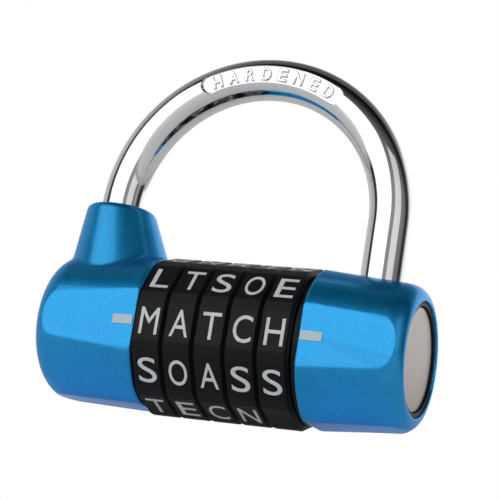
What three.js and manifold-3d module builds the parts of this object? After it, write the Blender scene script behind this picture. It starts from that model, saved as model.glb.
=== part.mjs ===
// Barrel combination padlock: letter dials on a core tube between two lacquered housings,
// with a steel shackle whose heel leg stays in the tower of the left housing.
// Millimetres, +Z up. The pieces are drawn with the barrel's axis on X and the dials' middle at
// x = 0, and one group then stands the whole lock on the origin.
import * as THREE from "three";
import { mergeVertices } from "three/addons/utils/BufferGeometryUtils.js";
import Module from "manifold-3d";

const wasm = await Module();
wasm.setup();

// Dials
const DIAL_COUNT = 5;
const DIAL_PITCH = 6.1;
const DIAL_WIDTH = 5.8;
const DIAL_FACETS = 10;
const DIAL_CORNER_R = 15.45;
const DIAL_BORE_R = 9.3;
const DIAL_CORNER_GROOVE = 0.55;
const DIAL_GROOVE_ANGLE = 3.4;
const FACET_APOTHEM = DIAL_CORNER_R * Math.cos(Math.PI / DIAL_FACETS);

// Gate rings, core tube and locking spindle
const GATE_RING_WIDTH = 1.5;
const GATE_RING_R = 9.0;
const GATE_RING_BORE_R = 4.8;
const GATE_WIDTH = 2.4;
const GATE_DEPTH_R = 7.7;
const CORE_R = 4.5;
const CORE_BORE_R = 3.0;
const CORE_SLOT_WIDTH = 2.4;
const SPINDLE_R = 2.6;
const SPINDLE_TIP_R = 1.5;
const SPINDLE_TRAVEL = 3.6;
const FIN_WIDTH = 0.7;
const FIN_THICKNESS = 1.6;
const FIN_R = 7.3;
const FIN_ROOM = 1.6;
const FIN_ROOM_R = 7.8;
const FIN_CLEARANCE = 0.2;
const SPINDLE_END_ROOM = 0.8;
const SPINDLE_CLEARANCE = 0.2;
const NOSE_TAPER = 1.3;

// Shackle
const SHACKLE_R = 4.0;
const ARCH_R = 27.3;
const HEEL_X = -28.8;
const TOE_X = HEEL_X + 2 * ARCH_R;
const SPRINGING_Z = 24.7;
const LEG_END_Z = -9.5;
const LEG_HOLE_R = 4.25;
const NOSE_DEPTH = 1.15;
const NOTCH_DEPTH = 1.45;
const NOTCH_TOP_Z = 3.1;
const NOTCH_BOTTOM_Z = -2.9;
const NOTCH_RAMP_END = 0.35;
const HEEL_RING_Z = -6.5;
const HEEL_RING_WIDTH = 1.4;
const HEEL_RING_R = 4.85;
const HEEL_GROOVE_DEPTH = 0.8;

// Housings
const HOUSING_R = 15.15;
const LEFT_END_R = 14.3;
const RIGHT_END_R = 13.85;
const HOUSING_FLAT = 14.05;
const LEFT_FLAT_SLOPE = THREE.MathUtils.degToRad(1.6);
const RIGHT_FLAT_SLOPE = THREE.MathUtils.degToRad(3.6);
const LEFT_END_ROUND = 5.4;
const RIGHT_END_ROUND = 4.4;
const RIGHT_END_LIP = 0.35;
const LEFT_FACE_X = -15.45;
const LEFT_END_X = -37.2;
const RIGHT_FACE_X = 16.4;
const RIGHT_END_X = 35.3;
const RIM_CHAMFER = 0.3;
const LEFT_FACE_R = 9.4;
const TOWER_TOP_Z = 24.2;
const TOWER_TOP_R = 6.6;
const TOWER_BASE_Z = 12.6;
const TOWER_FOOT_Z = 8.0;
const TOWER_BASE_R = 9.8;
const TOWER_EDGE = 1.1;
const TOWER_LEAN = 0.2;
const LEG_BORE_FLOOR_Z = -12.2;
const RING_ROOM_R = 5.05;
const RING_ROOM_TOP_Z = 20.45;
const CORE_SEAT_LEFT_X = -22.6;
const CORE_SEAT_RIGHT_X = 20.6;

// Trim
const SPACER_WIDTH = 0.85;
const SPACER_R = 13.9;
const BADGE_R = 9.6;
const BADGE_THICKNESS = 1.1;
const BADGE_CHAMFER = 0.25;
const BADGE_FACE_X = 34.75;
const BEZEL_R = 10.5;
const BEZEL_THICKNESS = 2.0;
const BEZEL_PROUD = 0.2;
const INDEX_LENGTH = 4.0;
const INDEX_HEIGHT = 1.7;
const INDEX_THICKNESS = 0.15;
const INDEX_INSET = 0.4;
const PIN_R = 1.0;
const PIN_LEFT_X = -19.4;
const PIN_RIGHT_X = 18.6;
const PIN_BOTTOM_Z = -13.6;
const PIN_TOP_Z = -3.6;

const GAP = 0.05;
const PRESS_GAP = 0.02;
const ROUND_SIDES = 72;
const BORE_SIDES = 40;
const SMALL_SIDES = 32;
const OVERCUT = 1;
const BIG = 60;

const lacquer = { color: 0x1779c4, roughness: 0.25, metalness: 0.75 };
const dialPlastic = { color: 0x17181a, roughness: 0.55, metalness: 0.0 };
const chrome = { color: 0xd8dadd, roughness: 0.08, metalness: 1.0 };
const satinSteel = { color: 0xb9b4ad, roughness: 0.38, metalness: 1.0 };
const brass = { color: 0xb58a3c, roughness: 0.4, metalness: 1.0 };
const plainSteel = { color: 0x8f9296, roughness: 0.4, metalness: 1.0 };
const whitePaint = { color: 0xe6e4e8, roughness: 0.5, metalness: 0.0 };

// The lock stands on the origin: its lowest dial edges at z = 0 and its length centred on x = 0.
const padlock = new THREE.Group();
const barrel = new THREE.Group();
const dialEdgeTurn = THREE.MathUtils.degToRad(DIAL_GROOVE_ANGLE);
const dialEdgeR = FACET_APOTHEM / Math.cos(Math.PI / DIAL_FACETS - dialEdgeTurn);
barrel.position.set(-(LEFT_END_X + RIGHT_END_X) / 2, 0, dialEdgeR * Math.cos(dialEdgeTurn));
padlock.add(barrel);

// A closed geometry as a solid that booleans can work on.
function solidOf(geometry) {
  const bare = geometry.clone();
  bare.deleteAttribute("normal");
  bare.deleteAttribute("uv");
  const merged = mergeVertices(bare, 1e-4);
  const mesh = new wasm.Mesh({
    numProp: 3,
    vertProperties: new Float32Array(merged.attributes.position.array),
    triVerts: new Uint32Array(merged.index.array),
  });
  return new wasm.Manifold(mesh);
}

function geometryOf(solid) {
  const mesh = solid.getMesh();
  const indexed = new THREE.BufferGeometry();
  indexed.setAttribute("position", new THREE.BufferAttribute(mesh.vertProperties, 3));
  indexed.setIndex(new THREE.BufferAttribute(mesh.triVerts, 1));
  const flat = indexed.toNonIndexed();
  flat.computeVertexNormals();
  return flat;
}

// Adds a named mesh to the lock.
function place(name, geometry, finish, position = [0, 0, 0]) {
  const mesh = new THREE.Mesh(geometry, new THREE.MeshStandardMaterial(finish));
  mesh.name = name;
  mesh.position.set(...position);
  barrel.add(mesh);
}

// Turns a profile of [along, radius] pairs round the X axis. The profile runs with rising x.
function turnedOnX(profile, sides = ROUND_SIDES) {
  const points = profile.map(([along, radius]) => new THREE.Vector2(radius, along));
  return new THREE.LatheGeometry(points, sides).rotateZ(-Math.PI / 2);
}

// Turns a profile of [height, radius] pairs round a vertical axis.
function turnedOnZ(profile, sides = SMALL_SIDES) {
  const points = profile.map(([height, radius]) => new THREE.Vector2(radius, height));
  return new THREE.LatheGeometry(points, sides).rotateX(Math.PI / 2);
}

function discOnX(fromX, toX, radius, sides = ROUND_SIDES) {
  return turnedOnX([[fromX, 0], [fromX, radius], [toX, radius], [toX, 0]], sides);
}

function rodOnZ(fromZ, toZ, radius, sides = SMALL_SIDES) {
  return turnedOnZ([[fromZ, 0], [fromZ, radius], [toZ, radius], [toZ, 0]], sides);
}

function boxBetween(low, high) {
  const size = high.map((value, axis) => Math.abs(value - low[axis]));
  const middle = high.map((value, axis) => (value + low[axis]) / 2);
  return new THREE.BoxGeometry(...size).translate(...middle);
}

// Points of a quarter round from a side wall over to an end face, as [along, radius] pairs.
function endRound(wallX, endX, wallR, endR, steps = 8) {
  const points = [];
  for (let step = 0; step <= steps; step++) {
    const turn = (step / steps) * (Math.PI / 2);
    points.push([
      wallX + (endX - wallX) * Math.sin(turn),
      endR + (wallR - endR) * Math.cos(turn),
    ]);
  }
  return points;
}

// The four long flats of a housing, which slope inwards from its dial face to its end. They are
// cut by keeping what lies inside a four-sided spike on the barrel's axis.
function flattened(solid, faceX, endX, slope) {
  const corner = Math.SQRT2 * HOUSING_FLAT;
  const narrowing = Math.SQRT2 * Math.tan(slope) * Math.abs(endX - faceX);
  const profile = [[faceX, 0], [faceX, corner], [endX, corner - narrowing], [endX, 0]];
  if (endX < faceX) profile.reverse();
  const spike = turnedOnX(profile, 4).rotateX(Math.PI / 4);
  return solid.intersect(solidOf(spike));
}

function dialX(dial) {
  return (dial - (DIAL_COUNT - 1) / 2) * DIAL_PITCH;
}

// Where a fin starts: just short of the next dial's gate ring.
function finX(dial) {
  return dialX(dial) + DIAL_PITCH - GATE_RING_WIDTH / 2 - FIN_CLEARANCE - FIN_WIDTH;
}

// Dial: a ten-sided ring with a shallow groove along each corner.
function dialOutline() {
  const outline = new THREE.Shape();
  const half = Math.PI / DIAL_FACETS;
  for (let facet = 0; facet < DIAL_FACETS; facet++) {
    const middle = 2 * half * facet;
    const corners = [
      [middle - half + dialEdgeTurn, dialEdgeR],
      [middle + half - dialEdgeTurn, dialEdgeR],
      [middle + half, DIAL_CORNER_R - DIAL_CORNER_GROOVE],
    ];
    for (const [turn, radius] of corners) {
      const x = radius * Math.cos(turn);
      const y = radius * Math.sin(turn);
      if (facet === 0 && turn < 0) outline.moveTo(x, y);
      else outline.lineTo(x, y);
    }
  }
  outline.closePath();
  const bore = new THREE.Path();
  bore.absarc(0, 0, DIAL_BORE_R, 0, 2 * Math.PI, true);
  outline.holes.push(bore);
  return outline;
}

function dialGeometry() {
  const options = { depth: DIAL_WIDTH, bevelEnabled: false, curveSegments: 24 };
  const upright = new THREE.Matrix4().makeBasis(
    new THREE.Vector3(0, 1, 0),
    new THREE.Vector3(0, 0, 1),
    new THREE.Vector3(1, 0, 0),
  );
  return new THREE.ExtrudeGeometry(dialOutline(), options)
    .translate(0, 0, -DIAL_WIDTH / 2)
    .applyMatrix4(upright);
}

// A ring round the core tube whose gate, at its lowest point, lets a fin of the spindle pass. The
// gate rings turn with their dials, and the spacer beside the last dial stays where it is.
function gatedRingGeometry(width, radius) {
  const ring = solidOf(discOnX(-width / 2, width / 2, radius));
  const bore = solidOf(discOnX(-BIG, BIG, GATE_RING_BORE_R, BORE_SIDES));
  const gate = solidOf(boxBetween([-BIG, -GATE_WIDTH / 2, -GATE_DEPTH_R], [BIG, GATE_WIDTH / 2, 0]));
  return geometryOf(ring.subtract(bore).subtract(gate));
}

// Core tube: carries the dials, with a slot under it for the spindle's fins.
function coreTubeGeometry() {
  const from = CORE_SEAT_LEFT_X + GAP;
  const to = CORE_SEAT_RIGHT_X - GAP;
  const firstFinX = finX(0) - SPINDLE_TRAVEL;
  const lastFinX = finX(DIAL_COUNT - 1) + FIN_WIDTH;
  const slot = boxBetween(
    [firstFinX - GAP, -CORE_SLOT_WIDTH / 2, -CORE_R - OVERCUT],
    [lastFinX + GAP, CORE_SLOT_WIDTH / 2, 0],
  );
  let tube = solidOf(discOnX(from, to, CORE_R, BORE_SIDES));
  tube = tube.subtract(solidOf(discOnX(-BIG, BIG, CORE_BORE_R, BORE_SIDES)));
  tube = tube.subtract(solidOf(slot));
  for (const x of [PIN_LEFT_X, PIN_RIGHT_X]) {
    const hole = rodOnZ(-CORE_R - OVERCUT, 0, PIN_R + GAP).translate(x, 0, 0);
    tube = tube.subtract(solidOf(hole));
  }
  return geometryOf(tube);
}

// Locking spindle: a rod with one fin beside each gate ring and a nose that holds the toe.
function spindleGeometry() {
  const noseX = TOE_X - SHACKLE_R + NOSE_DEPTH;
  const from = CORE_SEAT_LEFT_X + SPINDLE_TRAVEL + SPINDLE_END_ROOM;
  const profile = [
    [from, 0],
    [from, SPINDLE_R],
    [noseX - NOSE_TAPER, SPINDLE_R],
    [noseX, SPINDLE_TIP_R],
    [noseX, 0],
  ];
  let spindle = solidOf(turnedOnX(profile, SMALL_SIDES));
  for (let dial = 0; dial < DIAL_COUNT; dial++) {
    const fin = boxBetween(
      [finX(dial), -FIN_THICKNESS / 2, -FIN_R],
      [finX(dial) + FIN_WIDTH, FIN_THICKNESS / 2, -SPINDLE_R / 2],
    );
    spindle = spindle.add(solidOf(fin));
  }
  return geometryOf(spindle);
}

// The shackle's centre line: up the heel leg, over the arch and down the toe leg.
class ShacklePath extends THREE.Curve {
  getPoint(t) {
    const leg = SPRINGING_Z - LEG_END_Z;
    const arch = Math.PI * ARCH_R;
    const along = t * (2 * leg + arch);
    if (along <= leg) return new THREE.Vector3(HEEL_X, 0, LEG_END_Z + along);
    if (along >= leg + arch) {
      return new THREE.Vector3(TOE_X, 0, SPRINGING_Z - (along - leg - arch));
    }
    const turn = (along - leg) / ARCH_R;
    const middleX = HEEL_X + ARCH_R;
    return new THREE.Vector3(
      middleX - ARCH_R * Math.cos(turn),
      0,
      SPRINGING_Z + ARCH_R * Math.sin(turn),
    );
  }
}

function shackleGeometry() {
  const section = new THREE.Shape();
  section.absarc(0, 0, SHACKLE_R, 0, 2 * Math.PI, false);
  const bar = new THREE.ExtrudeGeometry(section, {
    steps: 72,
    curveSegments: 24,
    extrudePath: new ShacklePath(),
  });
  let shackle = solidOf(bar);
  // The notch has a square top and a long ramp below it, so the nose rides out as the toe rises.
  const face = TOE_X - SHACKLE_R;
  const notch = new THREE.Shape([
    new THREE.Vector2(face - OVERCUT, NOTCH_TOP_Z),
    new THREE.Vector2(face + NOTCH_DEPTH, NOTCH_TOP_Z),
    new THREE.Vector2(face + NOTCH_DEPTH, NOTCH_BOTTOM_Z),
    new THREE.Vector2(face + NOTCH_RAMP_END, LEG_END_Z - OVERCUT),
    new THREE.Vector2(face - OVERCUT, LEG_END_Z - OVERCUT),
  ]);
  const cutWidth = 3 * SHACKLE_R;
  const cutter = new THREE.ExtrudeGeometry(notch, { depth: cutWidth, bevelEnabled: false })
    .translate(0, 0, -cutWidth / 2)
    .rotateX(Math.PI / 2);
  shackle = shackle.subtract(solidOf(cutter));
  const groove = turnedOnZ([
    [HEEL_RING_Z, SHACKLE_R - HEEL_GROOVE_DEPTH],
    [HEEL_RING_Z, SHACKLE_R + OVERCUT],
    [HEEL_RING_Z + HEEL_RING_WIDTH, SHACKLE_R + OVERCUT],
    [HEEL_RING_Z + HEEL_RING_WIDTH, SHACKLE_R - HEEL_GROOVE_DEPTH],
    [HEEL_RING_Z, SHACKLE_R - HEEL_GROOVE_DEPTH],
  ]).translate(HEEL_X, 0, 0);
  return geometryOf(shackle.subtract(solidOf(groove)));
}

// Retaining ring in the heel's groove. It stops the shackle at the top of its lift.
function heelRingGeometry() {
  const inner = SHACKLE_R - HEEL_GROOVE_DEPTH + GAP;
  const low = HEEL_RING_Z + GAP;
  const high = HEEL_RING_Z + HEEL_RING_WIDTH - GAP;
  return turnedOnZ([
    [low, inner],
    [low, HEEL_RING_R],
    [high, HEEL_RING_R],
    [high, inner],
    [low, inner],
  ]);
}

function leftHousingGeometry() {
  const wallX = LEFT_END_X + LEFT_END_ROUND;
  const outer = [
    [LEFT_END_X, 0],
    ...endRound(wallX, LEFT_END_X, LEFT_END_R, LEFT_FACE_R).reverse(),
    [LEFT_FACE_X - RIM_CHAMFER, HOUSING_R],
    [LEFT_FACE_X, HOUSING_R - RIM_CHAMFER],
    [LEFT_FACE_X, 0],
  ];
  const tower = turnedOnZ(
    [
      [TOWER_FOOT_Z, 0],
      [TOWER_FOOT_Z, TOWER_BASE_R],
      [TOWER_BASE_Z, TOWER_BASE_R],
      ...endRound(TOWER_TOP_Z - TOWER_EDGE, TOWER_TOP_Z, TOWER_TOP_R, TOWER_TOP_R - TOWER_EDGE, 4),
      [TOWER_TOP_Z, 0],
    ],
    48,
  )
    .applyMatrix4(new THREE.Matrix4().makeShear(0, 0, 0, 0, -TOWER_LEAN, 0))
    .translate(HEEL_X + TOWER_LEAN * TOWER_TOP_Z, 0, 0);
  const cuts = [
    rodOnZ(LEG_BORE_FLOOR_Z, BIG, LEG_HOLE_R, BORE_SIDES).translate(HEEL_X, 0, 0),
    rodOnZ(LEG_BORE_FLOOR_Z, RING_ROOM_TOP_Z, RING_ROOM_R, BORE_SIDES).translate(HEEL_X, 0, 0),
    discOnX(CORE_SEAT_LEFT_X, 0, CORE_R + PRESS_GAP, BORE_SIDES),
    rodOnZ(-BIG, 0, PIN_R + PRESS_GAP).translate(PIN_LEFT_X, 0, 0),
  ];
  let housing = flattened(solidOf(turnedOnX(outer)), LEFT_FACE_X, LEFT_END_X, LEFT_FLAT_SLOPE);
  housing = housing.add(solidOf(tower));
  for (const cut of cuts) housing = housing.subtract(solidOf(cut));
  return geometryOf(housing);
}

function rightHousingGeometry() {
  const wallX = RIGHT_END_X - RIGHT_END_ROUND;
  const outer = [
    [RIGHT_FACE_X, 0],
    [RIGHT_FACE_X, HOUSING_R - RIM_CHAMFER],
    [RIGHT_FACE_X + RIM_CHAMFER, HOUSING_R],
    ...endRound(wallX, RIGHT_END_X, RIGHT_END_R, BEZEL_R + RIGHT_END_LIP),
    [RIGHT_END_X, 0],
  ];
  const recessX = BADGE_FACE_X - BEZEL_THICKNESS;
  const cuts = [
    rodOnZ(LEG_END_Z - OVERCUT, BIG, LEG_HOLE_R, BORE_SIDES).translate(TOE_X, 0, 0),
    discOnX(0, CORE_SEAT_RIGHT_X, CORE_R + PRESS_GAP, BORE_SIDES),
    discOnX(0, TOE_X, SPINDLE_R + SPINDLE_CLEARANCE, SMALL_SIDES),
    discOnX(0, RIGHT_FACE_X + FIN_ROOM, FIN_ROOM_R, BORE_SIDES),
    discOnX(recessX, BIG, BEZEL_R + PRESS_GAP),
    rodOnZ(-BIG, 0, PIN_R + PRESS_GAP).translate(PIN_RIGHT_X, 0, 0),
  ];
  let housing = flattened(solidOf(turnedOnX(outer)), RIGHT_FACE_X, RIGHT_END_X, RIGHT_FLAT_SLOPE);
  for (const cut of cuts) housing = housing.subtract(solidOf(cut));
  return geometryOf(housing);
}

// Bezel: a shallow black cup that the badge sits in.
function bezelGeometry() {
  const back = BADGE_FACE_X - BEZEL_THICKNESS + PRESS_GAP;
  const floor = BADGE_FACE_X - BADGE_THICKNESS - GAP;
  return turnedOnX([
    [back, 0],
    [back, BEZEL_R],
    [BADGE_FACE_X + BEZEL_PROUD, BEZEL_R],
    [BADGE_FACE_X + BEZEL_PROUD, BADGE_R + GAP],
    [floor, BADGE_R + GAP],
    [floor, 0],
  ]);
}

function badgeGeometry() {
  const back = BADGE_FACE_X - BADGE_THICKNESS;
  return turnedOnX([
    [back, 0],
    [back, BADGE_R],
    [BADGE_FACE_X - BADGE_CHAMFER, BADGE_R],
    [BADGE_FACE_X, BADGE_R - BADGE_CHAMFER],
    [BADGE_FACE_X, 0],
  ]);
}

// A bar that lies on the front flat of a housing, running away from the dials. The side is -1
// for the left housing and 1 for the right one.
function indexMarkGeometry(faceX, side, slope) {
  const bar = boxBetween(
    [0, -PRESS_GAP - INDEX_THICKNESS, -INDEX_HEIGHT / 2],
    [side * INDEX_LENGTH, -PRESS_GAP, INDEX_HEIGHT / 2],
  );
  return bar
    .translate(side * INDEX_INSET, 0, 0)
    .rotateZ(side * slope)
    .translate(faceX, -HOUSING_FLAT, 0);
}

place("left_housing", leftHousingGeometry(), lacquer);
place("right_housing", rightHousingGeometry(), lacquer);
place("core_tube", coreTubeGeometry(), plainSteel);
place("badge_bezel", bezelGeometry(), dialPlastic);
place("end_badge", badgeGeometry(), satinSteel);
place("right_spacer", gatedRingGeometry(SPACER_WIDTH, SPACER_R), dialPlastic, [
  RIGHT_FACE_X - SPACER_WIDTH / 2 - GAP,
  0,
  0,
]);
place("left_index_mark", indexMarkGeometry(LEFT_FACE_X, -1, LEFT_FLAT_SLOPE), whitePaint);
place("right_index_mark", indexMarkGeometry(RIGHT_FACE_X, 1, RIGHT_FLAT_SLOPE), whitePaint);
for (const [side, x] of [["left", PIN_LEFT_X], ["right", PIN_RIGHT_X]]) {
  place(`${side}_core_pin`, rodOnZ(PIN_BOTTOM_Z, PIN_TOP_Z, PIN_R), plainSteel, [x, 0, 0]);
}

for (let dial = 0; dial < DIAL_COUNT; dial++) {
  const at = [dialX(dial), 0, 0];
  place(`dial_${dial + 1}`, dialGeometry(), dialPlastic, at);
  place(`gate_ring_${dial + 1}`, gatedRingGeometry(GATE_RING_WIDTH, GATE_RING_R), brass, at);
}

place("locking_spindle", spindleGeometry(), brass);
place("shackle", shackleGeometry(), chrome);
place("heel_ring", heelRingGeometry(), plainSteel, [HEEL_X, 0, 0]);

export default padlock;
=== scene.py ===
import math

import bpy
from mathutils import Matrix, Vector


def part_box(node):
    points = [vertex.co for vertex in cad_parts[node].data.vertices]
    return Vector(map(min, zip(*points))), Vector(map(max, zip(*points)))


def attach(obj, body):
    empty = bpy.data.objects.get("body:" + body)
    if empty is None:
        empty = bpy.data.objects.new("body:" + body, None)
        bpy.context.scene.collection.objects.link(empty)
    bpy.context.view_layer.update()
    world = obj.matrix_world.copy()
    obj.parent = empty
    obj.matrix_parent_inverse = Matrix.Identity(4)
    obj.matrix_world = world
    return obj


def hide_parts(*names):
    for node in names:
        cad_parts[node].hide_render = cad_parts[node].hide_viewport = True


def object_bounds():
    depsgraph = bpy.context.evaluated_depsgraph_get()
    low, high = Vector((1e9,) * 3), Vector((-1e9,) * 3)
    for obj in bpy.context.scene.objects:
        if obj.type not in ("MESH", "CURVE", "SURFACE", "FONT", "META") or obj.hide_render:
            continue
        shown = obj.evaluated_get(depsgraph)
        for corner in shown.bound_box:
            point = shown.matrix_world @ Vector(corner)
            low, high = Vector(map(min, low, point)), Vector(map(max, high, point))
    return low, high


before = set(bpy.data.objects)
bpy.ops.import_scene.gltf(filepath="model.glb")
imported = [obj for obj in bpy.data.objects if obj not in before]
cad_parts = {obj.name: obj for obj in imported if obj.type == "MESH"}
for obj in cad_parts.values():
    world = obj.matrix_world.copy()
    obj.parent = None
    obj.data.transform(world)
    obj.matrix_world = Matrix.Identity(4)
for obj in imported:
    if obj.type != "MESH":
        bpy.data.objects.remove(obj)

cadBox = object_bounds()
mm = 0.001
weldGap = 0.001 * mm

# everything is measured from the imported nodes
dialLow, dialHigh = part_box("dial_3")
axisX = (dialLow.x + dialHigh.x) / 2
axisZ = (dialLow.z + dialHigh.z) / 2
leftLow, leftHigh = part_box("left_housing")
rightLow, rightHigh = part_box("right_housing")
shackleLow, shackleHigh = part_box("shackle")
badgeLow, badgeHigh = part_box("end_badge")
bezelLow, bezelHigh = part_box("badge_bezel")
badgeR = (badgeHigh.z - badgeLow.z) / 2
bezelR = (bezelHigh.z - bezelLow.z) / 2
barR = (shackleHigh.y - shackleLow.y) / 2
heelX = shackleLow.x + barR
toeX = shackleHigh.x - barR
print("frame read, dials centred at", round(axisX, 5), round(axisZ, 5))


def deselectAll():
    if bpy.context.object and bpy.context.object.mode != "OBJECT":
        bpy.ops.object.mode_set(mode="OBJECT")
    bpy.ops.object.select_all(action="DESELECT")


def pickOnly(piece):
    deselectAll()
    piece.select_set(True)
    bpy.context.view_layer.objects.active = piece


# leaves the piece in edit mode with only the parts that pass the test picked
def pickWhere(piece, kind, test):
    bpy.ops.object.mode_set(mode="EDIT")
    bpy.ops.mesh.select_mode(type=kind)
    bpy.ops.mesh.select_all(action="DESELECT")
    bpy.ops.object.mode_set(mode="OBJECT")
    mesh = piece.data
    parts = {"VERT": mesh.vertices, "EDGE": mesh.edges, "FACE": mesh.polygons}[kind]
    for part in parts:
        part.select = test(part)
    bpy.ops.object.mode_set(mode="EDIT")


def applyPlace(piece):
    pickOnly(piece)
    bpy.ops.object.transform_apply(location=True, rotation=True, scale=True)


def applyModifiers(piece):
    pickOnly(piece)
    for modifier in list(piece.modifiers):
        bpy.ops.object.modifier_apply(modifier=modifier.name)


def smoothBy(piece, degrees):
    pickOnly(piece)
    bpy.ops.object.shade_smooth_by_angle(angle=math.radians(degrees))


def cutWith(piece, cutter, operation="DIFFERENCE"):
    modifier = piece.modifiers.new("cut", "BOOLEAN")
    modifier.operation = operation
    modifier.solver = "EXACT"
    modifier.object = cutter
    applyModifiers(piece)
    bpy.data.objects.remove(cutter)


def addRod(radius, fromPoint, toPoint):
    start, end = Vector(fromPoint), Vector(toPoint)
    deselectAll()
    bpy.ops.mesh.primitive_cylinder_add(
        vertices=64, radius=radius, depth=(end - start).length, location=(start + end) / 2
    )
    rod = bpy.context.object
    rod.rotation_euler = (end - start).to_track_quat("Z", "Y").to_euler()
    applyPlace(rod)
    return rod


# in edit mode: joins doubled vertices, closes open loops if asked, and turns all faces outward
def weldAll(gap, close=False):
    bpy.ops.mesh.select_all(action="SELECT")
    bpy.ops.mesh.remove_doubles(threshold=gap)
    if close:
        bpy.ops.mesh.fill_holes(sides=0)
        bpy.ops.mesh.select_all(action="SELECT")
    bpy.ops.mesh.normals_make_consistent(inside=False)


# draws a profile as a chain of extruded points, then spins it round the barrel's axis
def spinProfile(name, profile, steps=128):
    deselectAll()
    bpy.ops.mesh.primitive_plane_add(size=1 * mm, location=(0, 0, 0))
    piece = bpy.context.object
    piece.name = name
    bpy.ops.object.mode_set(mode="EDIT")
    bpy.ops.mesh.select_mode(type="VERT")
    bpy.ops.mesh.select_all(action="SELECT")
    bpy.ops.mesh.merge(type="CENTER")
    along, radius = profile[0]
    bpy.ops.transform.translate(value=(along, 0, axisZ + radius))
    for (oldAlong, oldRadius), (newAlong, newRadius) in zip(profile, profile[1:]):
        step = (newAlong - oldAlong, 0, newRadius - oldRadius)
        bpy.ops.mesh.extrude_region_move(TRANSFORM_OT_translate={"value": step})
    bpy.ops.mesh.select_all(action="SELECT")
    bpy.ops.mesh.spin(steps=steps, angle=2 * math.pi, center=(0, 0, axisZ), axis=(1, 0, 0))
    weldAll(2 * weldGap)
    bpy.ops.object.mode_set(mode="OBJECT")
    return piece


def quarterRound(wallX, endX, wallR, endR, steps=14):
    turns = [math.pi / 2 * step / steps for step in range(steps + 1)]
    return [
        (wallX + (endX - wallX) * math.sin(turn), endR + (wallR - endR) * math.cos(turn))
        for turn in turns
    ]


# planes off the four long flats of a housing
def cutFlats(piece, faceX, side, distance, slope):
    pickOnly(piece)
    for turn in range(4):
        spin = Matrix.Rotation(turn * math.pi / 2, 3, "X")
        outward = spin @ Vector((side * math.sin(slope), -math.cos(slope), 0))
        point = spin @ Vector((0, -distance, 0)) + Vector((faceX, 0, axisZ))
        bpy.ops.object.mode_set(mode="EDIT")
        bpy.ops.mesh.select_all(action="SELECT")
        bpy.ops.mesh.bisect(
            plane_co=point, plane_no=outward, use_fill=True, clear_outer=True, clear_inner=False
        )
        bpy.ops.object.mode_set(mode="OBJECT")


def bevelCorners(piece, width, segments, degrees):
    rounding = piece.modifiers.new("edge", "BEVEL")
    rounding.width = width
    rounding.segments = segments
    rounding.limit_method = "ANGLE"
    rounding.angle_limit = math.radians(degrees)
    applyModifiers(piece)


# one closed skin over everything that was cut and joined, lightly softened
def castSkin(piece, voxel, passes=3):
    remesh = piece.modifiers.new("skin", "REMESH")
    remesh.mode = "VOXEL"
    remesh.voxel_size = voxel
    remesh.use_smooth_shade = True
    soften = piece.modifiers.new("soften", "SMOOTH")
    soften.factor = 0.5
    soften.iterations = passes
    applyModifiers(piece)


# effects shared by several finishes
def newGroup(name, inputs, outputs):
    group = bpy.data.node_groups.new(name, "ShaderNodeTree")
    for label, kind, value in inputs:
        socket = group.interface.new_socket(name=label, in_out="INPUT", socket_type=kind)
        if value is not None:
            socket.default_value = value
    for label, kind in outputs:
        group.interface.new_socket(name=label, in_out="OUTPUT", socket_type=kind)
    enter = group.nodes.new("NodeGroupInput")
    leave = group.nodes.new("NodeGroupOutput")
    return group, enter, leave


# metal flakes: tiny cells that each lean their own way and shine more or less
flakeSetting = {
    "driftScale": 260, "cellShare": 0.75, "driftShare": 0.35, "roughLow": 0.26, "roughHigh": 0.38,
}


def makeFlakeGroup(setting):
    group, enter, leave = newGroup(
        "flakes",
        [("Size", "NodeSocketFloat", 9000.0), ("Deep", "NodeSocketColor", None),
         ("Bright", "NodeSocketColor", None), ("Tilt", "NodeSocketFloat", 0.05)],
        [("Color", "NodeSocketColor"), ("Height", "NodeSocketFloat"),
         ("Roughness", "NodeSocketFloat")],
    )
    nodes, links = group.nodes, group.links
    place = nodes.new("ShaderNodeTexCoord")
    cells = nodes.new("ShaderNodeTexVoronoi")
    cells.feature = "F1"
    drift = nodes.new("ShaderNodeTexNoise")
    drift.inputs["Scale"].default_value = setting["driftScale"]
    drift.inputs["Detail"].default_value = 3
    pale = nodes.new("ShaderNodeSeparateColor")
    blend = nodes.new("ShaderNodeMath")
    blend.operation = "MULTIPLY_ADD"
    blend.inputs[1].default_value = setting["cellShare"]
    mix = nodes.new("ShaderNodeMix")
    mix.data_type = "RGBA"
    tilt = nodes.new("ShaderNodeMath")
    tilt.operation = "MULTIPLY"
    rough = nodes.new("ShaderNodeMapRange")
    rough.inputs["To Min"].default_value = setting["roughLow"]
    rough.inputs["To Max"].default_value = setting["roughHigh"]
    share = nodes.new("ShaderNodeMath")
    share.operation = "MULTIPLY"
    share.inputs[1].default_value = setting["driftShare"]
    links.new(place.outputs["Object"], cells.inputs["Vector"])
    links.new(place.outputs["Object"], drift.inputs["Vector"])
    links.new(enter.outputs["Size"], cells.inputs["Scale"])
    links.new(cells.outputs["Color"], pale.inputs[0])
    links.new(drift.outputs["Fac"], share.inputs[0])
    links.new(pale.outputs["Red"], blend.inputs[0])
    links.new(share.outputs[0], blend.inputs[2])
    links.new(blend.outputs[0], mix.inputs[0])
    links.new(enter.outputs["Deep"], mix.inputs[6])  # colour A, then colour B
    links.new(enter.outputs["Bright"], mix.inputs[7])
    links.new(mix.outputs[2], leave.inputs["Color"])
    links.new(pale.outputs["Green"], tilt.inputs[0])
    links.new(enter.outputs["Tilt"], tilt.inputs[1])
    links.new(tilt.outputs[0], leave.inputs["Height"])
    links.new(drift.outputs["Fac"], rough.inputs["Value"])
    links.new(rough.outputs["Result"], leave.inputs["Roughness"])
    return group


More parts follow.
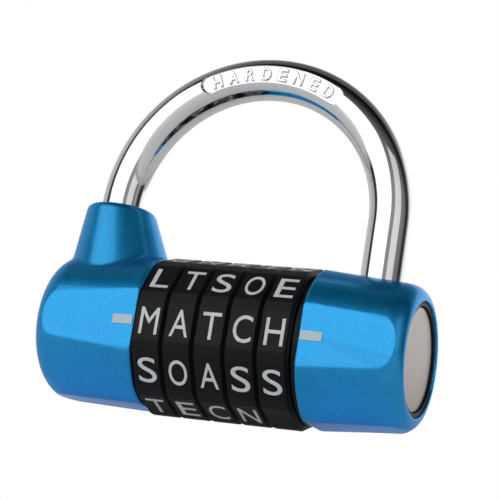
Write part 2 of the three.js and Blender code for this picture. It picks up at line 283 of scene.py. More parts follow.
# fine moulded or brushed grain, stretched along the axes by Stretch
def makeGrainGroup():
    group, enter, leave = newGroup(
        "grain",
        [("Stretch", "NodeSocketVector", (1, 1, 1)), ("Scale", "NodeSocketFloat", 900.0),
         ("Low", "NodeSocketFloat", 0.3), ("High", "NodeSocketFloat", 0.5)],
        [("Value", "NodeSocketFloat"), ("Height", "NodeSocketFloat")],
    )
    nodes, links = group.nodes, group.links
    place = nodes.new("ShaderNodeTexCoord")
    stretch = nodes.new("ShaderNodeVectorMath")
    stretch.operation = "MULTIPLY"
    fine = nodes.new("ShaderNodeTexNoise")
    fine.inputs["Detail"].default_value = 4
    span = nodes.new("ShaderNodeMapRange")
    links.new(place.outputs["Object"], stretch.inputs[0])
    links.new(enter.outputs["Stretch"], stretch.inputs[1])
    links.new(stretch.outputs[0], fine.inputs["Vector"])
    links.new(enter.outputs["Scale"], fine.inputs["Scale"])
    links.new(fine.outputs["Fac"], span.inputs["Value"])
    links.new(enter.outputs["Low"], span.inputs["To Min"])
    links.new(enter.outputs["High"], span.inputs["To Max"])
    links.new(span.outputs["Result"], leave.inputs["Value"])
    links.new(fine.outputs["Fac"], leave.inputs["Height"])
    return group


# patches of handling marks between two colours
handledSetting = {"detail": 6, "roughness": 0.65, "cleanBelow": 0.42, "wornAbove": 0.72}


def makeHandledGroup(setting):
    group, enter, leave = newGroup(
        "handled",
        [("Clean", "NodeSocketColor", None), ("Worn", "NodeSocketColor", None),
         ("Scale", "NodeSocketFloat", 220.0), ("Amount", "NodeSocketFloat", 0.3)],
        [("Color", "NodeSocketColor")],
    )
    nodes, links = group.nodes, group.links
    place = nodes.new("ShaderNodeTexCoord")
    patch = nodes.new("ShaderNodeTexNoise")
    patch.inputs["Detail"].default_value = setting["detail"]
    patch.inputs["Roughness"].default_value = setting["roughness"]
    edge = nodes.new("ShaderNodeMapRange")
    edge.inputs["From Min"].default_value = setting["cleanBelow"]
    edge.inputs["From Max"].default_value = setting["wornAbove"]
    amount = nodes.new("ShaderNodeMath")
    amount.operation = "MULTIPLY"
    mix = nodes.new("ShaderNodeMix")
    mix.data_type = "RGBA"
    links.new(place.outputs["Object"], patch.inputs["Vector"])
    links.new(enter.outputs["Scale"], patch.inputs["Scale"])
    links.new(patch.outputs["Fac"], edge.inputs["Value"])
    links.new(edge.outputs["Result"], amount.inputs[0])
    links.new(enter.outputs["Amount"], amount.inputs[1])
    links.new(amount.outputs[0], mix.inputs[0])
    links.new(enter.outputs["Clean"], mix.inputs[6])
    links.new(enter.outputs["Worn"], mix.inputs[7])
    links.new(mix.outputs[2], leave.inputs["Color"])
    return group


flakeGroup = makeFlakeGroup(flakeSetting)
grainGroup = makeGrainGroup()
handledGroup = makeHandledGroup(handledSetting)


def newFinish(name):
    material = bpy.data.materials.new(name)
    material.use_nodes = True
    return material, material.node_tree.nodes, material.node_tree.links


def addGroup(nodes, group, **values):
    node = nodes.new("ShaderNodeGroup")
    node.node_tree = group
    for label, value in values.items():
        node.inputs[label].default_value = value
    return node


def addBump(nodes, links, height, shader, distance, strength):
    bump = nodes.new("ShaderNodeBump")
    bump.inputs["Distance"].default_value = distance
    bump.inputs["Strength"].default_value = strength
    links.new(height, bump.inputs["Height"])
    links.new(bump.outputs["Normal"], shader.inputs["Normal"])


lacquerLook = {
    "deep": (0.005, 0.23, 0.6, 1),
    "bright": (0.02, 0.47, 0.92, 1),
    "edgeTint": (0.3, 0.6, 0.95, 1),
    "flakeSize": 11000, "flakeTilt": 0.5, "bumpDepth": 0.02, "bump": 0.35,
    "metallic": 0.82, "coat": 0.5, "coatRoughness": 0.06,
}


def makeLacquer(look):
    material, nodes, links = newFinish("blueLacquer")
    shader = nodes["Principled BSDF"]
    flakes = addGroup(
        nodes, flakeGroup, Size=look["flakeSize"], Deep=look["deep"], Bright=look["bright"],
        Tilt=look["flakeTilt"],
    )
    shader.inputs["Metallic"].default_value = look["metallic"]
    shader.inputs["Specular Tint"].default_value = look["edgeTint"]
    shader.inputs["Coat Weight"].default_value = look["coat"]
    shader.inputs["Coat Roughness"].default_value = look["coatRoughness"]
    links.new(flakes.outputs["Color"], shader.inputs["Base Color"])
    links.new(flakes.outputs["Roughness"], shader.inputs["Roughness"])
    addBump(nodes, links, flakes.outputs["Height"], shader, look["bumpDepth"] * mm, look["bump"])
    return material


# plastics, paints and metals share one recipe: handled colour, grained roughness and a light bump
def makeHandledFinish(name, look):
    material, nodes, links = newFinish(name)
    shader = nodes["Principled BSDF"]
    colour = addGroup(
        nodes, handledGroup, Clean=look["clean"], Worn=look["worn"], Scale=look["patchScale"],
        Amount=look["wear"],
    )
    grain = addGroup(
        nodes, grainGroup, Stretch=look["stretch"], Scale=look["grainScale"],
        Low=look["roughLow"], High=look["roughHigh"],
    )
    shader.inputs["Metallic"].default_value = look["metallic"]
    shader.inputs["Specular IOR Level"].default_value = look.get("specular", 0.5)
    links.new(colour.outputs["Color"], shader.inputs["Base Color"])
    links.new(grain.outputs["Value"], shader.inputs["Roughness"])
    addBump(nodes, links, grain.outputs["Height"], shader, look["bumpDepth"] * mm, look["bump"])
    return material


dialLook = {
    "clean": (0.005, 0.005, 0.0055, 1), "worn": (0.013, 0.013, 0.014, 1), "patchScale": 240,
    "wear": 0.45, "stretch": (1, 1, 1), "grainScale": 5200, "roughLow": 0.36, "roughHigh": 0.56,
    "metallic": 0.0, "specular": 0.22, "bumpDepth": 0.03, "bump": 0.35,
}
letterLook = {
    "clean": (0.76, 0.79, 0.79, 1), "worn": (0.5, 0.53, 0.53, 1), "patchScale": 900,
    "wear": 0.5, "stretch": (1, 1, 1), "grainScale": 5200, "roughLow": 0.5, "roughHigh": 0.7,
    "metallic": 0.0, "bumpDepth": 0.03, "bump": 0.3,
}
barLook = {
    "clean": (0.64, 0.73, 0.8, 1), "worn": (0.48, 0.58, 0.68, 1), "patchScale": 700,
    "wear": 0.4, "stretch": (1, 1, 1), "grainScale": 4200, "roughLow": 0.35, "roughHigh": 0.5,
    "metallic": 0.0, "bumpDepth": 0.02, "bump": 0.2,
}
chromeLook = {
    "clean": (0.86, 0.865, 0.87, 1), "worn": (0.7, 0.71, 0.72, 1), "patchScale": 180,
    "wear": 0.35, "stretch": (1, 1, 0.25), "grainScale": 900, "roughLow": 0.035, "roughHigh": 0.1,
    "metallic": 1.0, "bumpDepth": 0.004, "bump": 0.12,
}
discLook = {
    "clean": (0.52, 0.475, 0.445, 1), "worn": (0.42, 0.385, 0.36, 1), "patchScale": 120,
    "wear": 0.6, "stretch": (1, 0.06, 1), "grainScale": 5200, "roughLow": 0.3, "roughHigh": 0.46,
    "metallic": 1.0, "bumpDepth": 0.006, "bump": 0.35,
}
# near-black trim colour; on the badge cup it is also painted shade, standing in for the shadow gap
# round the disc
trimAndShadowGapLook = {
    "clean": (0.006, 0.006, 0.007, 1), "worn": (0.02, 0.02, 0.02, 1), "patchScale": 300,
    "wear": 0.4, "stretch": (1, 1, 1), "grainScale": 4800, "roughLow": 0.3, "roughHigh": 0.5,
    "metallic": 0.0, "specular": 0.2, "bumpDepth": 0.02, "bump": 0.25,
}
steelLook = {
    "clean": (0.45, 0.455, 0.46, 1), "worn": (0.27, 0.27, 0.28, 1), "patchScale": 300,
    "wear": 0.6, "stretch": (0.1, 1, 1), "grainScale": 4200, "roughLow": 0.28, "roughHigh": 0.5,
    "metallic": 1.0, "bumpDepth": 0.01, "bump": 0.3,
}
brassLook = {
    "clean": (0.72, 0.5, 0.2, 1), "worn": (0.4, 0.25, 0.09, 1), "patchScale": 320,
    "wear": 0.55, "stretch": (0.1, 1, 1), "grainScale": 4200, "roughLow": 0.22, "roughHigh": 0.42,
    "metallic": 1.0, "bumpDepth": 0.01, "bump": 0.3,
}
lacquer = makeLacquer(lacquerLook)
dialBlack = makeHandledFinish("dialBlack", dialLook)
letterPaint = makeHandledFinish("letterPaint", letterLook)
barPaint = makeHandledFinish("barPaint", barLook)
chromePlate = makeHandledFinish("chromePlate", chromeLook)
satinDisc = makeHandledFinish("satinDisc", discLook)
blackTrimAndShadowGap = makeHandledFinish("blackTrimAndShadowGap", trimAndShadowGapLook)
plainSteel = makeHandledFinish("plainSteel", steelLook)
plainBrass = makeHandledFinish("plainBrass", brassLook)
print("finishes made")


def finishPiece(piece, name, material, body, nodes=()):
    piece.name = name
    piece.data.name = name
    piece.data.materials.clear()
    piece.data.materials.append(material)
    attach(piece, body)
    if nodes:
        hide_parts(*nodes)


# the left housing: a tapered barrel with four long flats and a leaning tower for the heel leg
leftShape = {
    "barrelR": 15.15 * mm, "endR": 14.3 * mm, "endFaceR": 9.4 * mm, "endRound": 5.4 * mm,
    "rimChamfer": 0.35 * mm, "flatAt": 14.05 * mm, "flatSlope": math.radians(1.6),
    "seatR": 4.52 * mm, "seatDepth": 7.15 * mm, "towerTopR": 6.6 * mm, "towerFootR": 11.05 * mm,
    "towerHeight": 16.2 * mm, "towerLean": 0.2, "towerEdge": 1.1 * mm, "legHoleR": 4.25 * mm,
    "wideHoleR": 5.15 * mm, "ringStop": 3.5 * mm, "holeFloor": 12.2 * mm, "voxel": 0.27 * mm,
    "joinFromTower": (7.8 * mm, 12 * mm), "joinFromAxis": (13.2 * mm, 17.5 * mm),
    "joinAbove": 8 * mm, "joinSoftness": 0.6, "joinPasses": 26,
}


# smooths only where the tower meets the barrel
def softenJoin(housing, shape):
    nearTower, farTower = shape["joinFromTower"]
    nearAxis, farAxis = shape["joinFromAxis"]
    join = housing.vertex_groups.new(name="join")
    for vertex in housing.data.vertices:
        x, y, z = vertex.co
        fromAxis = math.hypot(y, z - axisZ)
        fromTower = math.hypot(x - heelX - shape["towerLean"] * (leftHigh.z - z), y)
        nearJoin = nearTower < fromTower < farTower and nearAxis < fromAxis < farAxis
        if nearJoin and z > axisZ + shape["joinAbove"]:
            join.add([vertex.index], 1.0, "REPLACE")
    blend = housing.modifiers.new("join", "SMOOTH")
    blend.vertex_group = "join"
    blend.factor = shape["joinSoftness"]
    blend.iterations = shape["joinPasses"]
    applyModifiers(housing)


def makeLeftHousing(shape):
    faceX, endX = leftHigh.x, leftLow.x
    seatX, wallX = faceX - shape["seatDepth"], endX + shape["endRound"]
    profile = [(seatX, 0), (seatX, shape["seatR"]), (faceX, shape["seatR"])]
    profile += [(faceX, shape["barrelR"] - shape["rimChamfer"])]
    profile += [(faceX - shape["rimChamfer"], shape["barrelR"])]
    profile += quarterRound(wallX, endX, shape["endR"], shape["endFaceR"]) + [(endX, 0)]
    housing = spinProfile("leftHousing", profile)
    cutFlats(housing, faceX, -1, shape["flatAt"], shape["flatSlope"])
    topZ = leftHigh.z
    middleZ = topZ - shape["towerHeight"] / 2
    deselectAll()
    bpy.ops.mesh.primitive_cone_add(
        vertices=96, radius1=shape["towerFootR"], radius2=shape["towerTopR"],
        depth=shape["towerHeight"], location=(heelX, 0, middleZ),
    )
    tower = bpy.context.object
    applyPlace(tower)
    pickWhere(tower, "VERT", lambda vertex: vertex.co.z < middleZ)
    bpy.ops.transform.translate(value=(shape["towerLean"] * shape["towerHeight"], 0, 0))
    bpy.ops.object.mode_set(mode="OBJECT")
    bevelCorners(tower, shape["towerEdge"], segments=5, degrees=40)
    cutWith(housing, tower, "UNION")
    floorZ, stopZ = axisZ - shape["holeFloor"], topZ - shape["ringStop"]
    aboveZ = topZ + 5 * mm
    cutWith(housing, addRod(shape["wideHoleR"], (heelX, 0, floorZ), (heelX, 0, stopZ)))
    cutWith(housing, addRod(shape["legHoleR"], (heelX, 0, axisZ), (heelX, 0, aboveZ)))
    castSkin(housing, shape["voxel"])
    softenJoin(housing, shape)
    smoothBy(housing, 60)
    return housing


leftHousing = makeLeftHousing(leftShape)
finishPiece(leftHousing, "leftHousing", lacquer, "body", ["left_housing"])
print("left housing made,", len(leftHousing.data.polygons), "faces")


# the right housing: the toe leg drops into it, and its end holds the badge
rightShape = {
    "barrelR": 15.15 * mm, "endR": 13.85 * mm, "endRound": 4.4 * mm, "rimChamfer": 0.35 * mm,
    "endRim": 0.35 * mm, "cupGap": 0.02 * mm, "flatAt": 14.05 * mm, "flatSlope": math.radians(3.6),
    "finRoomR": 7.8 * mm, "finRoomDepth": 1.6 * mm, "seatR": 4.52 * mm, "seatDepth": 4.2 * mm,
    "spindleR": 2.8 * mm, "spindleDepth": 9.5 * mm, "legHoleR": 4.25 * mm, "holeDepth": 10.5 * mm,
    "voxel": 0.24 * mm,
}


def makeRightHousing(shape):
    faceX, endX = rightLow.x, rightHigh.x
    boreX, seatX = faceX + shape["spindleDepth"], faceX + shape["seatDepth"]
    finX, rimX = faceX + shape["finRoomDepth"], faceX + shape["rimChamfer"]
    recessR = bezelR + shape["cupGap"]
    recessX = bezelLow.x - shape["cupGap"]
    wallX = endX - shape["endRound"]
    profile = [(boreX, 0), (boreX, shape["spindleR"]), (seatX, shape["spindleR"])]
    profile += [(seatX, shape["seatR"]), (finX, shape["seatR"]), (finX, shape["finRoomR"])]
    profile += [(faceX, shape["finRoomR"]), (faceX, shape["barrelR"] - shape["rimChamfer"])]
    profile += [(rimX, shape["barrelR"])]
    profile += quarterRound(wallX, endX, shape["endR"], recessR + shape["endRim"])
    profile += [(endX, recessR), (recessX, recessR), (recessX, 0)]
    housing = spinProfile("rightHousing", profile)
    cutFlats(housing, faceX, 1, shape["flatAt"], shape["flatSlope"])
    floorZ, aboveZ = axisZ - shape["holeDepth"], axisZ + 30 * mm
    cutWith(housing, addRod(shape["legHoleR"], (toeX, 0, floorZ), (toeX, 0, aboveZ)))
    castSkin(housing, shape["voxel"])
    smoothBy(housing, 60)
    return housing


rightHousing = makeRightHousing(rightShape)
finishPiece(rightHousing, "rightHousing", lacquer, "body", ["right_housing"])
print("right housing made,", len(rightHousing.data.polygons), "faces")


# a letter dial: ten flat pads with a cove along each corner and eased side rims
dialShape = {
    "facets": 10, "cornerR": dialHigh.y / math.cos(math.pi / 10) - 0.09 * mm, "boreR": 9.95 * mm,
    "width": dialHigh.x - dialLow.x, "cornerSlack": 0.1 * mm, "rimBand": 2 * mm,
    "collarR": 12.6 * mm, "collarRise": 0.22 * mm, "collarRoot": 1 * mm,
    "cove": 1.15 * mm, "coveSteps": 2, "coveProfile": 0.3,
    "wideRim": [(0.55 * mm, 0.0), (0.5 * mm, 0.14 * mm), (0.3 * mm, 0.45 * mm), (0, 0.3 * mm)],
    "fineRim": [(0.16 * mm, 0.0), (0.05 * mm, 0.05 * mm), (0, 0.11 * mm)],
}


# cuts the dial across near one side and draws in everything beyond the cut
def easeRim(dial, side, shape, inward, drop):
    planeX = side * (shape["width"] / 2 - inward)
    if inward:
        bpy.ops.object.mode_set(mode="EDIT")
        bpy.ops.mesh.select_all(action="SELECT")
        bpy.ops.mesh.bisect(plane_co=(planeX, 0, 0), plane_no=(1, 0, 0))

    def onRim(vertex):
        x, y, z = vertex.co
        beyond = side * x > side * planeX - weldGap
        return beyond and math.hypot(y, z) > shape["cornerR"] - shape["rimBand"]

    pickWhere(dial, "VERT", onRim)
    shrink = 1 - drop / shape["cornerR"]
    bpy.ops.transform.resize(value=(1, shrink, shrink), center_override=(0, 0, 0))
    bpy.ops.mesh.select_all(action="DESELECT")
    bpy.ops.object.mode_set(mode="OBJECT")


def makeDial(shape):
    deselectAll()
    bpy.ops.mesh.primitive_cylinder_add(
        vertices=shape["facets"], radius=shape["cornerR"], depth=shape["width"], end_fill_type="NGON"
    )
    dial = bpy.context.object
    halfPad = math.pi / shape["facets"]
    dial.matrix_world = Matrix.Rotation(halfPad, 4, "X") @ Matrix.Rotation(math.pi / 2, 4, "Y")
    applyPlace(dial)
    pickWhere(dial, "FACE", lambda face: abs(face.normal.x) > 0.9)
    wall = (shape["cornerR"] - shape["boreR"]) * math.cos(halfPad)
    bpy.ops.mesh.inset(thickness=wall, depth=0)
    bpy.ops.mesh.bridge_edge_loops()

    def onCorner(edge):
        a, b = (dial.data.vertices[index].co for index in edge.vertices)
        outside = min(math.hypot(*a.yz), math.hypot(*b.yz)) > shape["cornerR"] - shape["cornerSlack"]
        return outside and abs(a.x - b.x) > shape["width"] / 2

    pickWhere(dial, "EDGE", onCorner)
    bpy.ops.mesh.bevel(
        offset=shape["cove"], offset_type="OFFSET", segments=shape["coveSteps"],
        profile=shape["coveProfile"],
    )
    bpy.ops.object.mode_set(mode="OBJECT")
    for side, rim in ((1, shape["wideRim"]), (-1, shape["fineRim"])):
        for inward, drop in rim:
            easeRim(dial, side, shape, inward, drop)
    faceX, root = -shape["width"] / 2, shape["collarRoot"]
    collar = addRod(shape["collarR"], (faceX - shape["collarRise"], 0, 0), (faceX + root, 0, 0))
    bore = addRod(shape["boreR"], (faceX - root, 0, 0), (faceX + 2 * root, 0, 0))
    cutWith(collar, bore)
    cutWith(dial, collar, "UNION")
    smoothBy(dial, 12)
    return dial


dialLetters = {  # from the front pad round over the top, for each dial
    "dial_1": "MLGWPBHDTS",
    "dial_2": "ATNLHIRUEO",
    "dial_3": "TSRIONLECA",
    "dial_4": "COTKDMLENS",
    "dial_5": "HENYDRLT S",
}
letterShape = {
    "height": 5.0 * mm, "width": 3.6 * mm, "depth": 0.09 * mm, "sunk": 0.03 * mm, "round": 0.0,
}
capitalShare = 0.73  # a capital's height in the type's own size


# stands one letter on a plane: x to its right, y up, z out of the surface
def makeLetter(letter, shape, place):
    perEm = shape["height"] / capitalShare
    deselectAll()
    bpy.ops.object.text_add()
    text = bpy.context.object
    text.data.body = letter
    text.data.resolution_u = 8
    text.data.bevel_depth = shape["round"] / perEm
    text.data.bevel_resolution = 1
    text.data.extrude = (shape["depth"] / 2 - shape["round"]) / perEm
    bpy.ops.object.convert(target="MESH")
    mark = bpy.context.object
    lows, sizes = [], []
    for axis in range(3):
        reach = [vertex.co[axis] for vertex in mark.data.vertices]
        lows.append(min(reach))
        sizes.append(max(reach) - min(reach))
    sizeY = shape["height"] / sizes[1]
    narrow = sizes[0] < sizes[1] / 3  # the letter I
    sizeX = sizeY if narrow else shape["width"] / sizes[0]
    flatten = Matrix.Diagonal((sizeX, sizeY, shape["depth"] / sizes[2], 1))
    centre = Matrix.Translation((-lows[0] - sizes[0] / 2, -lows[1] - sizes[1] / 2, -lows[2]))
    lower = Matrix.Translation((0, 0, -shape["sunk"]))
    mark.matrix_world = place @ lower @ flatten @ centre
    applyPlace(mark)
    return mark


def joinPieces(pieces):
    deselectAll()
    for piece in pieces:
        piece.select_set(True)
    bpy.context.view_layer.objects.active = pieces[0]
    bpy.ops.object.join()
    bpy.ops.object.mode_set(mode="EDIT")
    weldAll(weldGap)
    bpy.ops.object.mode_set(mode="OBJECT")
    return bpy.context.object


padDistance = dialShape["cornerR"] * math.cos(math.pi / dialShape["facets"])
firstDial = makeDial(dialShape)
for name, letters in dialLetters.items():
    low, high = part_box(name)
    middleX = (low.x + high.x) / 2
    deselectAll()
    dial = firstDial.copy()
    dial.data = firstDial.data.copy()
    bpy.context.collection.objects.link(dial)
    dial.location = (middleX, 0, axisZ)
    applyPlace(dial)
    finishPiece(dial, "letterDial" + name[-1], dialBlack, name, [name])
    marks = []
    for pad, letter in enumerate(letters):
        if letter == " ":
            continue
        turn = pad * 2 * math.pi / dialShape["facets"]
        onPad = (
            Matrix.Translation((middleX, 0, axisZ))
            @ Matrix.Rotation(math.pi / 2 - turn, 4, "X")
            @ Matrix.Translation((0, 0, padDistance))
        )
        marks.append(makeLetter(letter, letterShape, onPad))
    finishPiece(joinPieces(marks), "dialLetters" + name[-1], letterPaint, name)
bpy.data.objects.remove(firstDial)
print("dials and letters made")


# the shackle: a round bar spun over the arch, with a pressed flat on its crown
shackleShape = {
    "sides": 64, "archSteps": 96, "legSteps": 4, "tipChamfer": 0.5 * mm,
    "flatDepth": 0.62 * mm, "flatHalfWidth": 1.72 * mm, "flatHalfTurn": math.radians(27.5),
    "flatMiddle": math.radians(86.9), "flatWall": 0.7, "flatSteps": 48, "cutterDepth": 2 * mm,
    "word": "HARDENED", "wordHeight": 2.6 * mm, "wordWidth": 2.0 * mm, "wordRise": 0.42 * mm,
    "wordHalfTurn": math.radians(24.8), "wordRound": 0.13 * mm, "wordSunk": 0.04 * mm,
    "notchDepth": 1.45 * mm, "notchTop": 3.1 * mm, "notchBottom": -2.9 * mm, "rampEnd": 0.35 * mm,
    "grooveUp": 3.0 * mm, "grooveWidth": 1.4 * mm, "grooveDepth": 0.8 * mm, "clearance": 1 * mm,
}
archX = (heelX + toeX) / 2
archR = (toeX - heelX) / 2
springZ = shackleHigh.z - barR - archR


# a curved bar that presses the recess, and a cone with a leaning wall for each end of it
def makeFlatCutter(shape):
    front = -barR + shape["flatDepth"]
    depth = shape["cutterDepth"]
    outerHalf = shape["flatHalfWidth"] + depth * shape["flatWall"]
    startTurn = shape["flatMiddle"] + shape["flatHalfTurn"]
    deselectAll()
    bpy.ops.mesh.primitive_plane_add(size=1)
    cutter = bpy.context.object
    cutter.matrix_world = (
        Matrix.Translation((archX, front - depth / 2, springZ))
        @ Matrix.Rotation(-startTurn, 4, "Y")
        @ Matrix.Translation((archR, 0, 0))
        @ Matrix.Diagonal((2 * shape["flatHalfWidth"], depth, 1, 1))
    )
    applyPlace(cutter)
    bpy.ops.object.mode_set(mode="EDIT")
    bpy.ops.mesh.select_mode(type="EDGE")
    bpy.ops.mesh.select_all(action="SELECT")
    bpy.ops.mesh.delete(type="ONLY_FACE")
    bpy.ops.mesh.select_all(action="SELECT")
    bpy.ops.mesh.spin(
        steps=shape["flatSteps"], angle=-2 * shape["flatHalfTurn"], center=(archX, 0, springZ),
        axis=(0, 1, 0),
    )
    weldAll(weldGap, close=True)
    bpy.ops.object.mode_set(mode="OBJECT")
    cutters = [cutter]
    for side in (-1, 1):
        turn = shape["flatMiddle"] + side * shape["flatHalfTurn"]
        middleX, middleZ = archX + archR * math.cos(turn), springZ + archR * math.sin(turn)
        deselectAll()
        bpy.ops.mesh.primitive_cone_add(
            vertices=48, radius1=outerHalf, radius2=shape["flatHalfWidth"], depth=depth,
            location=(middleX, front - depth / 2, middleZ), rotation=(-math.pi / 2, 0, 0),
        )
        cutters.append(bpy.context.object)
        applyPlace(cutters[-1])
    return cutters


def makeShackle(shape):
    deselectAll()
    bpy.ops.mesh.primitive_circle_add(
        vertices=shape["sides"], radius=barR, location=(heelX, 0, shackleLow.z)
    )
    bar = bpy.context.object
    applyPlace(bar)
    legStep = (springZ - shackleLow.z) / shape["legSteps"]
    bpy.ops.object.mode_set(mode="EDIT")
    bpy.ops.mesh.select_mode(type="EDGE")
    bpy.ops.mesh.select_all(action="SELECT")
    for step in range(shape["legSteps"]):
        bpy.ops.mesh.extrude_region_move(TRANSFORM_OT_translate={"value": (0, 0, legStep)})
    bpy.ops.mesh.spin(
        steps=shape["archSteps"], angle=-math.pi, center=(archX, 0, springZ), axis=(0, 1, 0)
    )
    for step in range(shape["legSteps"]):
        bpy.ops.mesh.extrude_region_move(TRANSFORM_OT_translate={"value": (0, 0, -legStep)})
    weldAll(weldGap, close=True)
    bpy.ops.object.mode_set(mode="OBJECT")
    bevelCorners(bar, shape["tipChamfer"], segments=3, degrees=60)
    for cutter in makeFlatCutter(shape):
        cutWith(bar, cutter)
    return bar


# cuts the toe's notch with its ramp, and turns the groove for the heel ring
def cutLegs(bar, shape):
    spare = shape["clearance"]
    face, top, bottom = toeX - barR, shape["notchTop"], shape["notchBottom"]
    deselectAll()
    bpy.ops.mesh.primitive_cube_add(size=1)
    wedge = bpy.context.object
    wedge.scale = (shape["notchDepth"] + spare, 3 * barR, top - bottom)
    wedge.location = (face + (shape["notchDepth"] - spare) / 2, 0, axisZ + (top + bottom) / 2)
    applyPlace(wedge)
    pickWhere(wedge, "FACE", lambda face: face.normal.z < -0.9)
    endZ = shackleLow.z - spare
    drop = axisZ + bottom - endZ
    bpy.ops.mesh.extrude_region_move(TRANSFORM_OT_translate={"value": (0, 0, -drop)})
    narrow = (shape["rampEnd"] + spare) / (shape["notchDepth"] + spare)
    bpy.ops.transform.resize(value=(narrow, 1, 1), center_override=(face - spare, 0, endZ))
    bpy.ops.object.mode_set(mode="OBJECT")
    cutWith(bar, wedge)
    low = shackleLow.z + shape["grooveUp"]
    high = low + shape["grooveWidth"]
    sleeve = addRod(barR + spare, (heelX, 0, low), (heelX, 0, high))
    core = addRod(barR - shape["grooveDepth"], (heelX, 0, low - spare), (heelX, 0, high + spare))
    cutWith(sleeve, core)
    cutWith(bar, sleeve)


def makeWord(shape):
    marks = []
    floor = -barR + shape["flatDepth"]
    letterForm = {
        "height": shape["wordHeight"], "width": shape["wordWidth"], "sunk": shape["wordSunk"],
        "depth": shape["wordRise"] + shape["wordSunk"], "round": shape["wordRound"],
    }
    gaps = len(shape["word"]) - 1
    for index, letter in enumerate(shape["word"]):
        fromMiddle = shape["wordHalfTurn"] * (1 - 2 * index / gaps)
        turn = shape["flatMiddle"] - math.pi / 2 + fromMiddle
        place = (
            Matrix.Translation((archX, floor, springZ))
            @ Matrix.Rotation(-turn, 4, "Y")
            @ Matrix.Translation((0, 0, archR))
            @ Matrix.Rotation(math.pi / 2, 4, "X")
        )
        marks.append(makeLetter(letter, letterForm, place))
    return joinPieces(marks)


shackle = makeShackle(shackleShape)
cutLegs(shackle, shackleShape)
smoothBy(shackle, 30)
finishPiece(shackle, "shackleBar", chromePlate, "shackle", ["shackle"])
word = makeWord(shackleShape)
finishPiece(word, "crownLetters", chromePlate, "shackle")
print("shackle made")


# the satin disc of the badge, and the black cup round it, whose black is partly trim colour and
# partly painted shade for the shadow gap round the disc
badgeShape = {"dome": 0.22 * mm, "edge": 0.35 * mm, "rings": 12}
bezelShape = {"lip": 0.16 * mm, "lipR": 0.12 * mm, "gap": 0.05 * mm}


def makeBadge(shape):
    rimX, rimR = badgeHigh.x - shape["dome"], badgeR - shape["edge"]
    profile = [(badgeLow.x, 0), (badgeLow.x, badgeR)]
    profile += quarterRound(rimX - shape["edge"], rimX, badgeR, rimR, 4)
    for ring in range(1, shape["rings"] + 1):
        share = 1 - ring / shape["rings"]
        profile.append((badgeHigh.x - shape["dome"] * share ** 2, rimR * share))
    badge = spinProfile("badge", profile, 96)
    smoothBy(badge, 35)
    return badge


def makeBezel(shape):
    innerR, floorX = badgeR + shape["gap"], badgeLow.x - shape["gap"]
    topX = bezelHigh.x
    profile = [(bezelLow.x, 0), (bezelLow.x, bezelR), (topX - shape["lip"], bezelR)]
    profile += [(topX, bezelR - shape["lip"]), (topX, innerR + shape["lipR"])]
    profile += [(topX - shape["lipR"], innerR), (floorX, innerR), (floorX, 0)]
    bezel = spinProfile("bezel", profile, 96)
    smoothBy(bezel, 40)
    return bezel


finishPiece(makeBadge(badgeShape), "badgeDisc", satinDisc, "body", ["end_badge"])
# the cup's black is partly painted shade for the shadow gap round the badge disc
finishPiece(makeBezel(bezelShape), "badgeCupPaintedShadow", blackTrimAndShadowGap, "body", ["badge_bezel"])

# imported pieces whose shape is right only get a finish
keptFinishes = {
    "core_tube": plainSteel, "left_core_pin": plainSteel, "right_core_pin": plainSteel,
    "heel_ring": plainSteel, "locking_spindle": plainBrass, "right_spacer": blackTrimAndShadowGap,
    "left_index_mark": barPaint, "right_index_mark": barPaint,
}
keptFinishes.update({"gate_ring_" + name[-1]: plainBrass for name in dialLetters})
for name, material in keptFinishes.items():
    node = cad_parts[name]
    node.data.materials.clear()
    node.data.materials.append(material)
print("trim and inner pieces finished")


# floor, light and camera
stageLook = {
    "floorSize": 6.0, "floor": (0.82, 0.82, 0.83, 1), "floorRoughness": 0.7, "floorGlow": 0.22,
    "front": (0.366, -0.905, -0.217),  # the tent's greys run from behind the lock to this way
    "tent": [(0.0, 0.62), (0.34, 0.45), (0.41, 0.03), (0.52, 0.03), (0.62, 0.17), (1.0, 0.3)],
    "tentTint": (1, 1, 1.02), "overhead": 0.2, "dimFrom": 0.45, "dimTo": 0.9,
}
deselectAll()
bpy.ops.mesh.primitive_plane_add(size=stageLook["floorSize"], location=(0, 0, cadBox[0].z))
floor = bpy.context.object
floor.name = "paleFloor"
floorPaint, nodes, links = newFinish("floorPaint")
floorShader = nodes["Principled BSDF"]
floorShader.inputs["Base Color"].default_value = stageLook["floor"]
floorShader.inputs["Roughness"].default_value = stageLook["floorRoughness"]
floorShader.inputs["Emission Color"].default_value = stageLook["floor"]
floorShader.inputs["Emission Strength"].default_value = stageLook["floorGlow"]
seenFrom = nodes.new("ShaderNodeNewGeometry")  # the floor is clear from below
clear = nodes.new("ShaderNodeBsdfTransparent")
choose = nodes.new("ShaderNodeMixShader")
links.new(seenFrom.outputs["Backfacing"], choose.inputs[0])
links.new(floorShader.outputs[0], choose.inputs[1])
links.new(clear.outputs[0], choose.inputs[2])
links.new(choose.outputs[0], nodes["Material Output"].inputs["Surface"])
floor.data.materials.append(floorPaint)

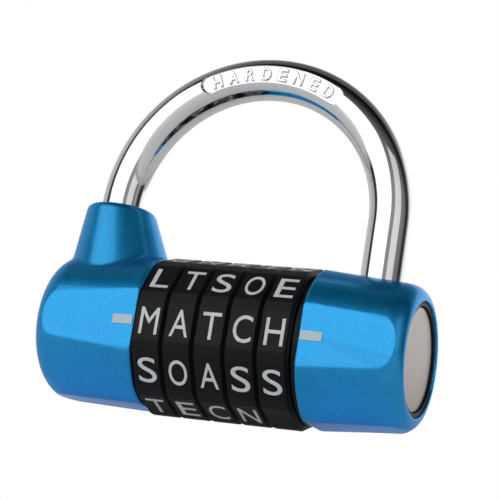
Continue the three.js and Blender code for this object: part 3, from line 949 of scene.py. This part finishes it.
world = bpy.data.worlds.new("studio")
bpy.context.scene.world = world
bpy.context.scene.view_settings.view_transform = "Standard"
world.use_nodes = True
nodes, links = world.node_tree.nodes, world.node_tree.links
nodes.clear()
where = nodes.new("ShaderNodeTexCoord")
facing = nodes.new("ShaderNodeVectorMath")
facing.operation = "DOT_PRODUCT"
facing.inputs[1].default_value = stageLook["front"]
shift = nodes.new("ShaderNodeMapRange")
shift.inputs["From Min"].default_value = -1
shift.inputs["From Max"].default_value = 1
ramp = nodes.new("ShaderNodeValToRGB")
while len(ramp.color_ramp.elements) < len(stageLook["tent"]):
    ramp.color_ramp.elements.new(0.5)
for element, (position, grey) in zip(ramp.color_ramp.elements, stageLook["tent"]):
    element.position = position
    element.color = [grey * tint for tint in stageLook["tentTint"]] + [1]
heights = nodes.new("ShaderNodeSeparateXYZ")
overhead = nodes.new("ShaderNodeMapRange")
overhead.inputs["From Min"].default_value = stageLook["dimFrom"]
overhead.inputs["From Max"].default_value = stageLook["dimTo"]
overhead.inputs["To Min"].default_value = 1.0
overhead.inputs["To Max"].default_value = stageLook["overhead"]
sky = nodes.new("ShaderNodeBackground")
links.new(where.outputs["Generated"], heights.inputs[0])
links.new(heights.outputs["Z"], overhead.inputs["Value"])
links.new(overhead.outputs["Result"], sky.inputs["Strength"])
plain = nodes.new("ShaderNodeBackground")
plain.inputs["Color"].default_value = (1, 1, 1, 1)
rays = nodes.new("ShaderNodeLightPath")
backdrop = nodes.new("ShaderNodeMixShader")  # the camera sees plain white, all else the tent
out = nodes.new("ShaderNodeOutputWorld")
links.new(where.outputs["Generated"], facing.inputs[0])
links.new(facing.outputs["Value"], shift.inputs["Value"])
links.new(shift.outputs["Result"], ramp.inputs["Fac"])
links.new(ramp.outputs["Color"], sky.inputs["Color"])
links.new(rays.outputs["Is Camera Ray"], backdrop.inputs[0])
links.new(sky.outputs[0], backdrop.inputs[1])
links.new(plain.outputs[0], backdrop.inputs[2])
links.new(backdrop.outputs[0], out.inputs["Surface"])

lights = {  # azimuth, distance, middle height, width, height, radiance
    "frontBox": (-22, 0.5, 0.3, 0.84, 0.58, 1.08),
    "rightStrip": (55, 0.5, 0.28, 0.3, 0.5, 0.5),
    "backBox": (170, 0.6, 0.35, 0.9, 0.5, 0.5),
}
for name, (azimuth, distance, middle, width, height, radiance) in lights.items():
    turn = math.radians(azimuth)
    place = (distance * math.sin(turn), -distance * math.cos(turn), middle)
    bpy.ops.object.light_add(type="AREA", location=place)
    lamp = bpy.context.object
    lamp.name = name
    lamp.data.shape = "RECTANGLE"
    lamp.data.size = width
    lamp.data.size_y = height
    lamp.data.energy = radiance * math.pi * width * height
    lamp.rotation_euler = (math.pi / 2, 0, turn)
    lamp.visible_camera = False

cameraSetting = {
    "azimuth": math.radians(22.0), "elevation": math.radians(-12.52), "roll": math.radians(9.11),
    "distance": 320.1 * mm, "aim": Vector((1.69 * mm, -3.79 * mm, axisZ + 17.08 * mm)),
    "lens": 123.4, "sensor": 36,
}


def addCamera(setting):
    azimuth, elevation, roll = (setting[key] for key in ("azimuth", "elevation", "roll"))
    level, up = math.cos(elevation), math.sin(elevation)
    back = Vector((math.sin(azimuth) * level, -math.cos(azimuth) * level, up))
    bpy.ops.object.camera_add(location=setting["aim"] + back * setting["distance"])
    camera = bpy.context.object
    upright = (-back).to_track_quat("-Z", "Y").to_matrix()
    camera.rotation_euler = (upright @ Matrix.Rotation(roll, 3, "Z")).to_euler()
    camera.data.lens = setting["lens"]
    camera.data.sensor_width = setting["sensor"]
    camera.data.clip_start = 0.01
    bpy.context.scene.camera = camera


addCamera(cameraSetting)
print("floor, lights and camera placed")
